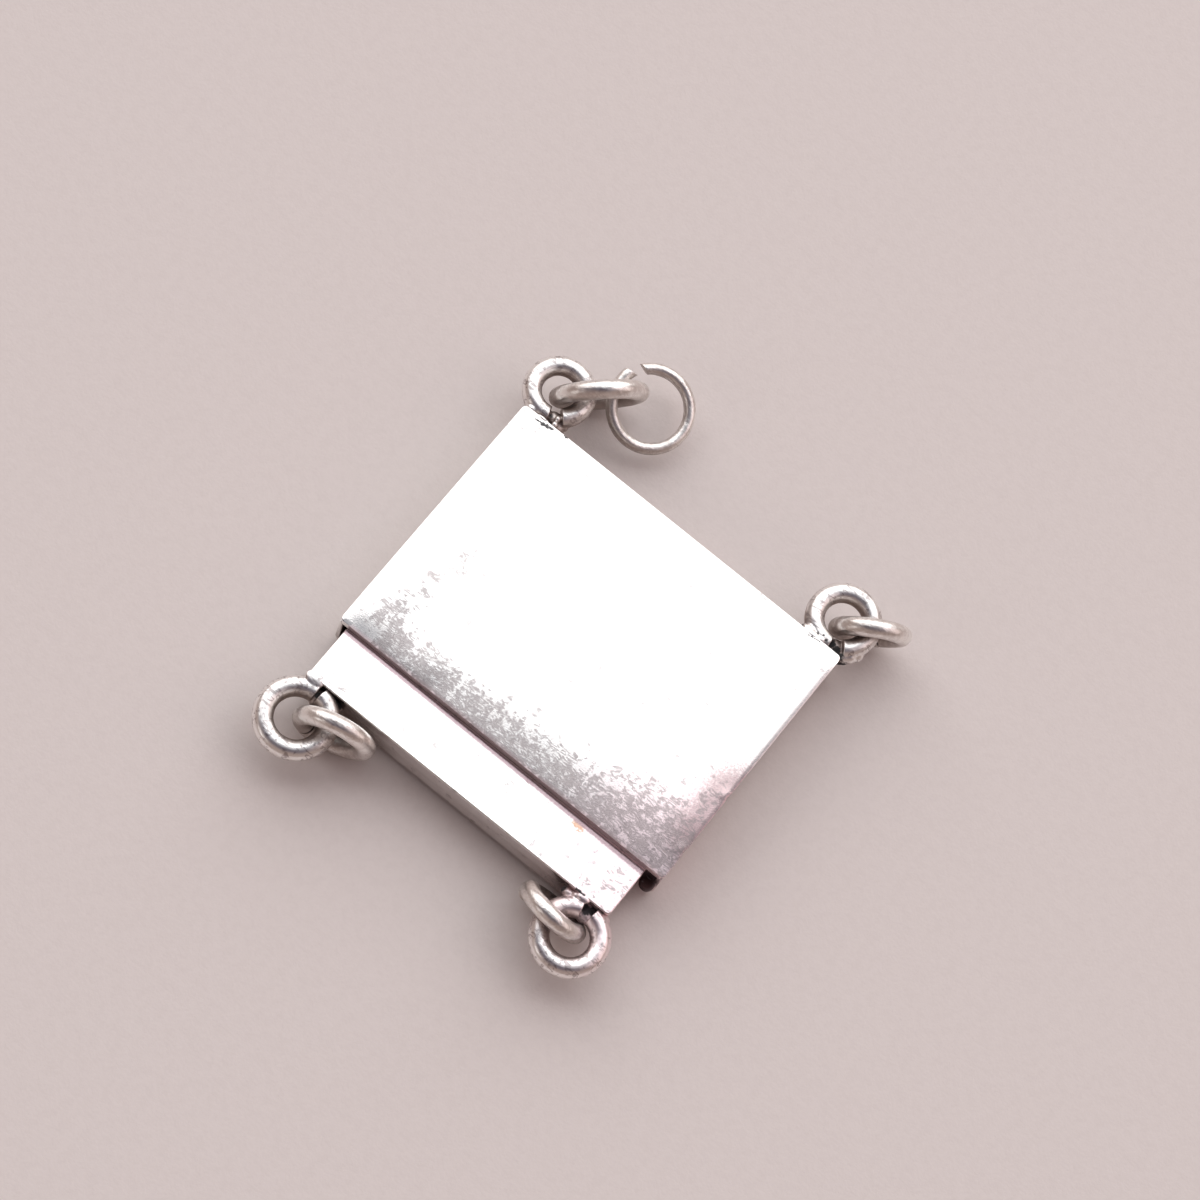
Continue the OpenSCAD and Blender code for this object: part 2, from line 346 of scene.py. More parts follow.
# Drops of solder: place along the wall, distance out from it, height, and half sizes
solder = {
    "back left": [(0.3, 0.1, -0.3, 1.0, 0.3, 0.42), (-0.4, 0.14, 0.0, 0.4, 0.3, 0.4),
                  (0.6, 0.48, -0.05, 0.36, 0.38, 0.34), (0.78, 0.5, 0.2, 0.16, 0.22, 0.22),
                  (0.3, 0.0, 0.46, 0.34, 0.1, 0.08), (0.84, 0.16, 0.3, 0.17, 0.2, 0.22),
                  (0.95, 0.26, -0.2, 0.36, 0.28, 0.34), (0.98, 0.55, -0.2, 0.42, 0.36, 0.34)],
    "back right": [(0.2, 0.1, -0.35, 1.0, 0.3, 0.42), (-0.95, 0.14, 0.16, 0.42, 0.28, 0.34),
                   (-0.75, 0.0, 0.43, 0.5, 0.2, 0.11), (-0.25, 0.1, 0.2, 0.34, 0.24, 0.28),
                   (0.46, 0.42, -0.22, 0.42, 0.42, 0.32), (1.0, 0.24, -0.15, 0.36, 0.3, 0.4),
                   (1.2, 0.48, -0.08, 0.36, 0.36, 0.36), (1.4, 0.8, -0.14, 0.36, 0.4, 0.32)],
    "front left": [(0.3, 0.1, -0.38, 1.05, 0.3, 0.4), (-0.55, 0.12, 0.12, 0.4, 0.28, 0.33),
                   (-0.45, -0.02, 0.42, 0.5, 0.36, 0.13), (0.56, 0.46, 0.2, 0.25, 0.22, 0.26),
                   (0.95, 0.4, 0.1, 0.24, 0.18, 0.28), (0.1, 0.5, -0.1, 0.24, 0.44, 0.3)],
    "front right": [(-0.1, 0.1, -0.38, 1.0, 0.3, 0.4), (-0.85, 0.14, 0.08, 0.34, 0.26, 0.35),
                    (-0.1, 0.46, -0.25, 0.4, 0.42, 0.3), (0.66, 0.14, -0.1, 0.34, 0.26, 0.36),
                    (-0.6, 0.04, 0.4, 0.34, 0.24, 0.12),
                    (-1.15, 0.2, -0.05, 0.5, 0.26, 0.3)],
}
# Black flux and tarnish in the joints, and painted shade in their gaps and under the legs: along,
# out, up, and reach
sootAndShade = {
    "back left": [(0.46, 0.42, 0.0, 0.26), (0.3, 0.8, -0.1, 0.28), (1.25, 0.1, -0.4, 0.3)],
    "back right": [(-0.54, 0.23, 0.35, 0.13), (-0.28, 0.3, 0.35, 0.12), (-0.05, 0.2, 0.3, 0.17),
                   (0.25, 0.36, 0.0, 0.3), (0.58, 0.26, 0.0, 0.34), (0.9, 0.12, 0.0, 0.3),
                   (1.2, -0.05, -0.35, 0.4), (-1.45, 0.08, 0.1, 0.3)],
    "front left": [(0.1, 0.45, 0.1, 0.24), (0.3, 0.16, 0.1, 0.27), (0.7, 0.08, 0.0, 0.3),
                   (1.1, 0.1, 0.0, 0.36), (1.5, 0.15, 0.0, 0.4)],
    "front right": [(-0.22, 0.3, 0.0, 0.4), (0.12, 0.14, 0.0, 0.36), (0.42, 0.06, 0.1, 0.2),
                    (-1.7, 0.15, 0.1, 0.4)],
    "flat": 0.55,       # the marks reach further down than sideways
}


def makeEye(name):
    print("eye", name)
    spec = eye[name]
    centre = Vector(spec["at"])
    clearSelection()
    bpy.ops.mesh.primitive_torus_add(
        location=centre, major_segments=eye["steps"], minor_segments=eye["section"],
        major_radius=(spec["across"] - spec["wire"]) / 2 - eye["fuller"],
        minor_radius=spec["wire"] / 2 + eye["fuller"])
    parts = [bpy.context.object]
    bpy.ops.object.transform_apply(location=True, rotation=True, scale=True)
    low, high = spec["cut"]
    pick(parts[0], "FACE", lambda f: low < math.degrees(math.atan2(
        f.center.x - centre.x, (centre.y - f.center.y) * spec["out"])) < high)
    bpy.ops.mesh.delete(type="FACE")
    bpy.ops.mesh.select_all(action="SELECT")
    bpy.ops.mesh.fill_holes(sides=0)
    bpy.ops.object.mode_set(mode="OBJECT")
    modify(parts[0], "DISPLACE", texture=unevenness("eyeWave", eye["waveSize"]),
           strength=eye["wave"], mid_level=1.0, texture_coords="GLOBAL")
    for along, out, up, halfX, halfY, halfZ in solder[name]:
        clearSelection()
        bpy.ops.mesh.primitive_uv_sphere_add(
            segments=eye["dropSteps"], ring_count=eye["dropRings"], radius=1,
            location=(centre.x + along, spec["wall"] + spec["out"] * out, centre.z + up))
        bpy.context.object.scale = (halfX, halfY, halfZ)
        parts.append(bpy.context.object)
    piece = join("eye", parts)
    only(piece)
    bpy.ops.object.transform_apply(location=True, rotation=True, scale=True)
    modify(piece, "REMESH", mode="VOXEL", voxel_size=eye["voxel"], use_smooth_shade=True)
    modify(piece, "SMOOTH", factor=0.5, iterations=eye["round"])
    addAttribute(piece, "wire", [1.0] * len(piece.data.vertices))
    return piece


# The tongue: a solid bar, a folded spring leaf, and the arm that ends in the release tab

tongue = {
    "left": -8.74, "right": 8.36, "front": -9.44, "back": -5.1, "bottom": 0.43,
    "edge": 0.06, "corner": 0.22, "cuts": 11,
    "leaf": 0.35, "leafHalf": 8.2, "leafSink": 0.5, "noseY": 5.5, "noseRadius": 0.55,
    "foldSteps": 16, "catchY": -4.95, "earWidth": 1.0, "earIn": 0.3,
    "tabX": 8.68, "tabWidth": 0.54, "tabTop": 1.9, "tabEnd": -7.3, "step": 0.9,
    # the tab's end is a little wider, and almost a half round
    "headFrom": -6.76, "headStep": 0.03, "headX": 8.76, "headWidth": 0.72, "headRound": 0.96,
    "sheetEdge": 0.04,
}


def leafSlope():
    reachY = tongue["noseY"] - tongue["catchY"]
    reachZ = tongueHigh.z - tongue["bottom"] - tongue["noseRadius"]
    span = math.hypot(reachY, reachZ)
    slope = math.acos(tongue["noseRadius"] / span) - math.atan2(reachY, reachZ)
    return slope, math.sqrt(span ** 2 - tongue["noseRadius"] ** 2)


def makeLeaf():
    print("spring leaf")
    t = tongue
    slope, run = leafSlope()
    piece = block("leaf", (-t["leafHalf"], t["back"] - t["leafSink"], t["bottom"]),
                  (t["leafHalf"], t["noseY"], t["bottom"] + t["leaf"]))
    pick(piece, "FACE", lambda f: f.normal.y > facing)
    bpy.ops.mesh.spin(steps=t["foldSteps"], angle=math.pi - slope, axis=(1, 0, 0),
                      center=(0, t["noseY"], t["bottom"] + t["noseRadius"]))
    extrude(0, -run * math.cos(slope), run * math.sin(slope))
    recalculate(piece)
    bevelSharp(piece, t["sheetEdge"], 2)
    bpy.ops.object.mode_set(mode="OBJECT")
    return piece


def makeArm():
    print("arm and release tab")
    t = tongue
    slope = leafSlope()[0]
    armTop = tongueHigh.z - t["earWidth"] * math.tan(slope)
    halfTab = t["tabWidth"] / 2
    earLeft = t["leafHalf"] - t["earIn"]
    ear = block("ear", (earLeft, t["catchY"], armTop - t["leaf"]),
                (t["tabX"] + halfTab, t["catchY"] + t["earWidth"], armTop))
    bevelSharp(ear, t["sheetEdge"], 2)
    arm = block("arm", (t["tabX"] - halfTab, t["catchY"], armTop - t["leaf"]),
                (t["tabX"] + halfTab, t["catchY"] + t["earWidth"] / 2, armTop))
    pick(arm, "FACE", lambda f: f.normal.y < -facing)
    extrude(0, -t["step"], t["tabTop"] - armTop)
    run = t["catchY"] - t["step"] - t["headFrom"]
    extrude(0, -run, 0)
    extrude(t["headX"] - t["tabX"], -t["headStep"], 0)
    bpy.ops.transform.resize(value=(t["headWidth"] / t["tabWidth"], 1, 1),
                             center_override=(t["headX"], 0, 0))
    run = t["headFrom"] - t["headStep"] - t["tabEnd"]
    extrude(0, -run, 0)
    recalculate(arm)
    pick(arm, "EDGE", lambda e: runsAlong(arm, e, 2)
         and edgeEnds(arm, e)[0].y < t["tabEnd"] + snug)
    bevelPicked(t["headWidth"] / 2 * t["headRound"], 8)
    bevelSharp(arm, t["sheetEdge"], 2)
    bpy.ops.object.mode_set(mode="OBJECT")
    return [ear, arm]


def makeBar():
    print("bar")
    t = tongue
    piece = block("bar", (t["left"], t["front"], t["bottom"]),
                  (t["right"], t["back"], tongueHigh.z))
    pick(piece, "FACE", lambda f: True)
    bpy.ops.mesh.subdivide(number_cuts=t["cuts"])
    # its front right corner is worn round
    pick(piece, "EDGE", lambda e: runsAlong(piece, e, 2)
         and edgeEnds(piece, e)[0].x > t["right"] - snug
         and edgeEnds(piece, e)[0].y < t["front"] + snug)
    bevelPicked(t["corner"], 4)
    bevelSharp(piece, t["edge"], 3)
    bpy.ops.object.mode_set(mode="OBJECT")
    return piece


# The jump rings: round wire bent to a ring and cut through at one place

ring = {
    "section": 28, "steps": 48, "weld": 0.004, "cut": 1.6, "end": 0.04,
    "wave": 0.025, "waveSize": 0.7,
    # the cut's place round the ring and its width are in degrees, as the turn and the lean are
    "ring_back_left": {"across": 4.6605, "wire": 0.92, "turn": 44, "lean": 12,
                       "cutAt": 250, "step": 0.02},
    "ring_back_right": {"across": 3.8805, "wire": 0.92, "turn": 31, "lean": 10.5,
                        "cutAt": 300, "step": -0.02},
    "ring_front_left": {"across": 4.056, "wire": 0.92, "turn": 13, "lean": 1.5,
                        "cutAt": 215, "step": 0.03},
    "ring_front_right": {"across": 3.705, "wire": 0.92, "turn": -4.5, "lean": 25,
                         "cutAt": 172, "step": 0.14},
}


def bendWire(name, wire, radii, halves, shift):
    # a disc is spun round two arcs that share their middle point and its tangent,
    # about which each one tips, so that the two ends pass each other by the shift
    parts = []
    middle = (-radii[0], 0, 0)
    for radius, half, side in zip(radii, halves, (1, -1)):
        clearSelection()
        bpy.ops.mesh.primitive_circle_add(
            vertices=ring["section"], radius=wire / 2, fill_type="NGON",
            location=middle, rotation=(math.pi / 2, 0, 0))
        piece = bpy.context.object
        bpy.ops.object.transform_apply(location=True, rotation=True, scale=True)
        pick(piece, "FACE", lambda f: True)
        bpy.ops.mesh.spin(steps=ring["steps"], angle=math.radians(half) * side, axis=(0, 0, 1),
                          center=(radius - radii[0], 0, 0))
        bpy.ops.mesh.select_all(action="SELECT")
        bpy.ops.transform.rotate(value=side * math.asin(shift / 4 / radius),
                                 orient_axis="Y", center_override=middle)
        # the disc at the middle isn't part of the wire's skin
        pick(piece, "FACE", lambda f: len(f.vertices) > 4 and abs(f.center.y) < snug
             and f.center.x < 0)
        bpy.ops.mesh.delete(type="ONLY_FACE")
        bpy.ops.object.mode_set(mode="OBJECT")
        parts.append(piece)
    piece = join(name, parts)
    only(piece)
    bpy.ops.object.mode_set(mode="EDIT")
    bpy.ops.mesh.select_all(action="SELECT")
    bpy.ops.mesh.remove_doubles(threshold=ring["weld"])
    bpy.ops.mesh.normals_make_consistent(inside=False)
    bpy.ops.object.mode_set(mode="OBJECT")
    return piece


def roundEnds(piece, width):
    pick(piece, "FACE", lambda f: len(f.vertices) > 4)
    bpy.ops.mesh.region_to_loop()
    bevelPicked(width, 2)
    bpy.ops.object.mode_set(mode="OBJECT")


def makeJumpRing(name):
    print("jump ring", name)
    spec = ring[name]
    low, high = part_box(name)
    centre = (low + high) / 2 / mm
    radius = (spec["across"] - spec["wire"]) / 2
    half = 180 - ring["cut"] / 2
    piece = bendWire(name, spec["wire"], (radius, radius), (half, half), spec["step"])
    roundEnds(piece, ring["end"])
    only(piece)
    place = (Matrix.Translation(centre)
             @ Matrix.Rotation(math.radians(spec["turn"]), 4, "Z")
             @ Matrix.Rotation(math.radians(90 + spec["lean"]), 4, "X")
             @ Matrix.Rotation(math.radians(spec["cutAt"]), 4, "Z"))
    piece.matrix_world = place
    bpy.ops.object.transform_apply(location=True, rotation=True, scale=True)
    modify(piece, "DISPLACE", texture=unevenness("wireWave", ring["waveSize"]),
           strength=ring["wave"], mid_level=1.0, texture_coords="LOCAL")
    return piece


openRing = {
    "across": 4.28, "wire": 0.58, "gap": 15, "shortEnd": 5, "shift": 0.3, "splay": 0.12,
    "slant": 0.14, "tip": 0.09,     # both ends were sawn through in one slanting stroke
    "turn": -32.2, "lean": 17.7, "gapAt": 186.5, "centre": (-4.8502, 10.9852, 1.594),
    "end": 0.02, "wave": 0.012, "waveSize": 1.4,
}


def makeOpenRing():
    print("open ring")
    r = openRing
    radius = (r["across"] - r["wire"]) / 2
    half = 180 - r["gap"] / 2
    piece = bendWire("openRing", r["wire"], (radius + r["splay"] / 2, radius),
                     (half, half - r["shortEnd"]), r["shift"])
    for end in (r["gap"] / 2, -r["gap"] / 2 - r["shortEnd"]):
        way = Vector((math.cos(math.radians(end)), math.sin(math.radians(end))))
        for side in (1, -1):
            spot = way * (radius + side * r["wire"] / 2)
            pull(piece, lambda v: (v.co.xy - spot).length < r["tip"],
                 (-way.y * side * r["slant"], way.x * side * r["slant"], 0),
                 r["wire"], "LINEAR")
    roundEnds(piece, r["end"])
    only(piece)
    piece.matrix_world = (Matrix.Translation(r["centre"])
                          @ Matrix.Rotation(math.radians(r["turn"]), 4, "Z")
                          @ Matrix.Rotation(math.radians(r["lean"]), 4, "Y")
                          @ Matrix.Rotation(math.radians(r["gapAt"]), 4, "Z"))
    bpy.ops.object.transform_apply(location=True, rotation=True, scale=True)
    modify(piece, "DISPLACE", texture=unevenness("thinWave", r["waveSize"]),
           strength=r["wave"], mid_level=1.0, texture_coords="LOCAL")
    return piece


smoothing = {"sheet": 38, "wire": 50, "weight": 80}     # degrees, and the large faces' weight

for part in frame["nodes"].values():
    part.hide_select = False

caseParts = [makePlate(), makeTray(), makeEye("back left"), makeEye("back right")]
tongueParts = [makeBar(), makeLeaf(), *makeArm(), makeEye("front left"), makeEye("front right")]
for part in (*caseParts[:2], *tongueParts[:4]):
    only(part)
    bpy.ops.object.shade_smooth_by_angle(angle=math.radians(smoothing["sheet"]))
    if part is not caseParts[0]:
        modify(part, "WEIGHTED_NORMAL", mode="FACE_AREA", weight=smoothing["weight"],
               keep_sharp=True)

pieces = {
    "case": join("boxCase", caseParts),
    "tongue": join("slideTongue", tongueParts),
    "open_ring": makeOpenRing(),
}
for ringName in ("ring_back_left", "ring_back_right", "ring_front_left", "ring_front_right"):
    pieces[ringName] = makeJumpRing(ringName)
for nodeName in pieces:
    if nodeName not in ("case", "tongue"):
        only(pieces[nodeName])
        bpy.ops.object.shade_smooth_by_angle(angle=math.radians(smoothing["wire"]))


# Each point's shelter is measured once, the floor included: it darkens the metal as tarnish in the
# hollows and as painted shade on sides and undersides

shelter = {"rays": 24, "reach": 9.0, "near": 1.2, "lift": 0.03, "ground": 40}


def rayFan(count):
    # evenly spread directions over a half sphere round +Z
    fan = []
    for i in range(count):
        height = (i + 0.5) / count
        turn = math.pi * (3 - math.sqrt(5)) * i
        flat = math.sqrt(1 - height * height)
        fan.append(Vector((flat * math.cos(turn), flat * math.sin(turn), height)))
    return fan


def measureShelter():
    print("shelter")
    vertices, polygons = [], []
    for piece in pieces.values():
        start = len(vertices)
        vertices += [v.co.copy() for v in piece.data.vertices]
        polygons += [[start + i for i in f.vertices] for f in piece.data.polygons]
    ground = len(vertices)
    rim = shelter["ground"]
    vertices += [Vector((x, y, 0)) for x, y in ((-rim, -rim), (rim, -rim), (rim, rim), (-rim, rim))]
    polygons.append([ground, ground + 1, ground + 2, ground + 3])
    tree = BVHTree.FromPolygons(vertices, polygons)
    fan = rayFan(shelter["rays"])
    for piece in pieces.values():
        wide, close = [], []
        for v in piece.data.vertices:
            spin = v.normal.to_track_quat("Z", "Y")
            start = v.co + v.normal * shelter["lift"]
            far = [tree.ray_cast(start, spin @ way, shelter["reach"])[3] for way in fan]
            wide.append(sum(d is not None for d in far) / len(fan))
            close.append(sum(d is not None and d < shelter["near"] for d in far) / len(fan))
        addAttribute(piece, "shelter", wide)
        addAttribute(piece, "nook", close)


def paintSootAndShade(piece):
    # the joints' black flux, with painted shade in their gaps and under the legs
    spots = []
    for name in solder:
        centre = Vector(eye[name]["at"])
        for along, out, up, reach in sootAndShade[name]:
            y = eye[name]["wall"] + eye[name]["out"] * out
            spots.append((Vector((centre.x + along, y, centre.z + up)), reach))
    values = []
    for v in piece.data.vertices:
        far = [math.hypot(v.co.x - at.x, v.co.y - at.y, (v.co.z - at.z) * sootAndShade["flat"]) / reach
               for at, reach in spots]
        values.append(max(0.0, 1 - min(far)))
    addAttribute(piece, "sootAndShade", values)


# Handling has scuffed the mouth's edge and a few other places: centre, half sizes and share
scuffs = {
    "bandLeft": 1.25, "bandRight": 2.7, "widens": (1.0, 9.0), "bandFades": (0.5, 1.9),
    "leftStart": (-7.9, -7.2),
    "wire": 0.34,
    "spots": [(-7.5, -5.0, 0.9, 1.5, 0.9), (-7.2, -2.9, 0.6, 1.3, 0.62),
              (-6.6, -1.1, 0.7, 0.9, 0.45), (8.7, -3.8, 0.9, 3.2, 0.5),
              (7.6, -7.9, 1.5, 1.4, 0.26), (5.4, -8.6, 1.6, 0.8, 0.08),
              (-8.2, 6.0, 0.9, 0.6, 0.5), (-7.8, -9.1, 0.9, 0.5, 0.4)],
    "spotFades": (0.3, 1.3),
    "level": 0.95,      # how straight up a point has to look
}


def easeBetween(value, low, high):
    share = min(1.0, max(0.0, (value - low) / (high - low)))
    return share * share * (3 - 2 * share)


def scuffAt(x, y, onPlate):
    share = 0.0
    for atX, atY, halfX, halfY, most in scuffs["spots"]:
        far = math.hypot((x - atX) / halfX, (y - atY) / halfY)
        share = max(share, most * (1 - easeBetween(far, *scuffs["spotFades"])))
    if onPlate:
        wide = easeBetween(x, *scuffs["widens"])
        band = scuffs["bandLeft"] + (scuffs["bandRight"] - scuffs["bandLeft"]) * wide
        away = (y + plate["depth"] / 2) / band
        share = max(share, easeBetween(x, *scuffs["leftStart"])
                    * (1 - easeBetween(away, *scuffs["bandFades"])))
    return share


def paintScuffs(piece, onPlate):
    # the eyes' wire is scuffed all round
    isWire = [0.0] * len(piece.data.vertices)
    piece.data.attributes["wire"].data.foreach_get("value", isWire)
    values = []
    for v, wire in zip(piece.data.vertices, isWire):
        flat = float(v.normal.z > scuffs["level"])
        values.append(max(scuffs["wire"] * wire, scuffAt(v.co.x, v.co.y, onPlate) * flat))
    addAttribute(piece, "scuff", values)


measureShelter()
for part in ("case", "tongue"):
    paintSootAndShade(pieces[part])
    paintScuffs(pieces[part], part == "case")


# Shader maths: a tone wraps one socket, and arithmetic on it adds Math nodes

class Tone:
    def __init__(self, tree, socket=None):
        self.tree = tree
        self.socket = socket

    def node(self, kind, settings=(), sockets=(), out=0):
        made = self.tree.nodes.new(kind)
        for name, value in dict(settings).items():
            setattr(made, name, value)
        for name, value in dict(sockets).items():
            if isinstance(value, Tone):
                self.tree.links.new(value.socket, made.inputs[name])
            else:
                made.inputs[name].default_value = value
        return Tone(self.tree, made.outputs[out])

    def math(self, operation, *values):
        return self.node("ShaderNodeMath", {"operation": operation}, enumerate(values))

    def __add__(self, other):
        return self.math("ADD", self, other)

    def __radd__(self, other):
        return self.math("ADD", other, self)

    def __sub__(self, other):
        return self.math("SUBTRACT", self, other)

    def __rsub__(self, other):
        return self.math("SUBTRACT", other, self)

    def __mul__(self, other):
        return self.math("MULTIPLY", self, other)

    def __rmul__(self, other):
        return self.math("MULTIPLY", other, self)

    def __truediv__(self, other):
        return self.math("DIVIDE", self, other)

    def __abs__(self):
        return self.math("ABSOLUTE", self)

    def between(self, low, high):
        # 0 below low, 1 above high, and smooth from one to the other
        return self.node("ShaderNodeMapRange", {"interpolation_type": "SMOOTHSTEP"},
                         {"Value": self, "From Min": low, "From Max": high})

    def mix(self, first, second):
        # this tone is the share of the second colour
        return self.node("ShaderNodeMix", {"data_type": "RGBA"}, {0: self, 6: first, 7: second}, 2)

    def noise(self, scale, detail=2.0, roughness=0.5):
        return self.node("ShaderNodeTexNoise", {}, {
            "Vector": self, "Scale": scale, "Detail": detail, "Roughness": roughness})

    def turned(self, angle, stretch, offset=(0, 0, 0)):
        return self.node("ShaderNodeMapping", {}, {
            "Vector": self, "Location": offset, "Rotation": (0, 0, math.radians(angle)),
            "Scale": stretch})


def startFinish(name):
    material = bpy.data.materials.new(name)
    material.use_nodes = True
    tree = material.node_tree
    shader = tree.nodes["Principled BSDF"]
    base = Tone(tree)
    place = base.node("ShaderNodeTexCoord", out="Object")
    # the patterns count in millimetres
    place = place.node("ShaderNodeVectorMath", {"operation": "SCALE"}, {0: place, "Scale": 1 / mm})
    return material, tree, shader, base, place


def feed(tree, shader, sockets):
    for name, value in sockets.items():
        if isinstance(value, Tone):
            tree.links.new(value.socket, shader.inputs[name])
        else:
            shader.inputs[name].default_value = value


# Patterns that both silvers share. A noise has its scale, detail and roughness
surface = {
    "blotch": (1.1, 4.0, 0.6), "grime": (6.0, 4.0, 0.65), "ragged": (9.0, 3.0, 0.7),
    "blotchDirt": 0.45, "grimeDirt": 0.5, "deepDirt": 0.7, "sootShadeDirt": 0.9,
    "warmRange": (0.35, 0.75), "sootShadeRange": (0.22, 0.5), "stainAndLightRange": (0.3, 1.0),
    "deepShare": 0.9, "sawnAndReflectionShare": 0.85, "sootShadeShare": 0.93, "sootShadeMatt": 0.4,
    "scuffRange": (0.0, 0.3), "scuffBlotch": 0.5, "bareHairs": 0.8,
    # what each of these adds to the roughness
    "rougher": {"blotch": 0.06, "scratches": 0.05, "tarnishAndShade": 0.2, "deep": 0.2, "sootAndShade": 0.3,
                "dull": 0.35},
    "grain": (16.0, 2.0), "dents": (2.4, 3.0), "sootShadeDepth": 3.0,
    # hair scratches: the patches that they lie in are longer and broader than the lines
    "patchLong": 1.3, "patchBroad": 3, "patchEdge": 0.06, "hairShift": (7.3, 3.1, 1.7),
    "hairSeed": 1.0, "fineSeed": 11.0,
    "markRagged": 3.2, "markRange": (-1.0, -0.6),
}


def hairlines(place, angles, density, length, width, seed, cover):
    # fine scratches: thin level lines of a noise that is stretched along each direction,
    # kept only in the patches where another noise is above the cover
    total = None
    stepX, stepY, stepZ = surface["hairShift"]
    broad = surface["patchBroad"]
    for i, angle in enumerate(angles):
        shift = (seed + stepX * i, stepY * i, stepZ * i)
        stretched = place.turned(angle, (1 / length, density, density), shift)
        line = 1 - abs(stretched.noise(1.0, 0.0) - 0.5).between(0.0, width)
        patch = place.turned(
            angle, (surface["patchLong"] / length, density / broad, density / broad), shift)
        layer = line * patch.noise(1.0, 0.0).between(cover, cover + surface["patchEdge"])
        total = layer if total is None else total.math("MAXIMUM", total, layer)
    return total


def awayFrom(base, place, start, end):
    # distance from a point, or from a straight streak when the two places differ
    if start == end:
        return base.node("ShaderNodeVectorMath", {"operation": "DISTANCE"},
                         {0: place, 1: start}, "Value")
    start, end = Vector(start), Vector(end)
    run = end - start
    offset = base.node("ShaderNodeVectorMath", {"operation": "SUBTRACT"}, {0: place, 1: start})
    along = base.node("ShaderNodeVectorMath", {"operation": "DOT_PRODUCT"},
                      {0: offset, 1: run / run.length_squared}, "Value")
    along = base.node("ShaderNodeClamp", {}, {"Value": along})
    foot = base.node("ShaderNodeVectorMath", {"operation": "SCALE"}, {0: run, "Scale": along})
    return base.node("ShaderNodeVectorMath", {"operation": "DISTANCE"},
                     {0: offset, 1: foot}, "Value")


def marksAt(base, place, ragged, marks):
    # ragged dark marks and streaks at given places
    total = None
    for start, end, reach in marks:
        away = awayFrom(base, place, start, end)
        mark = (surface["markRagged"] * (ragged - 0.5) - away / reach).between(
            *surface["markRange"])
        total = mark if total is None else total.math("MAXIMUM", total, mark)
    return total


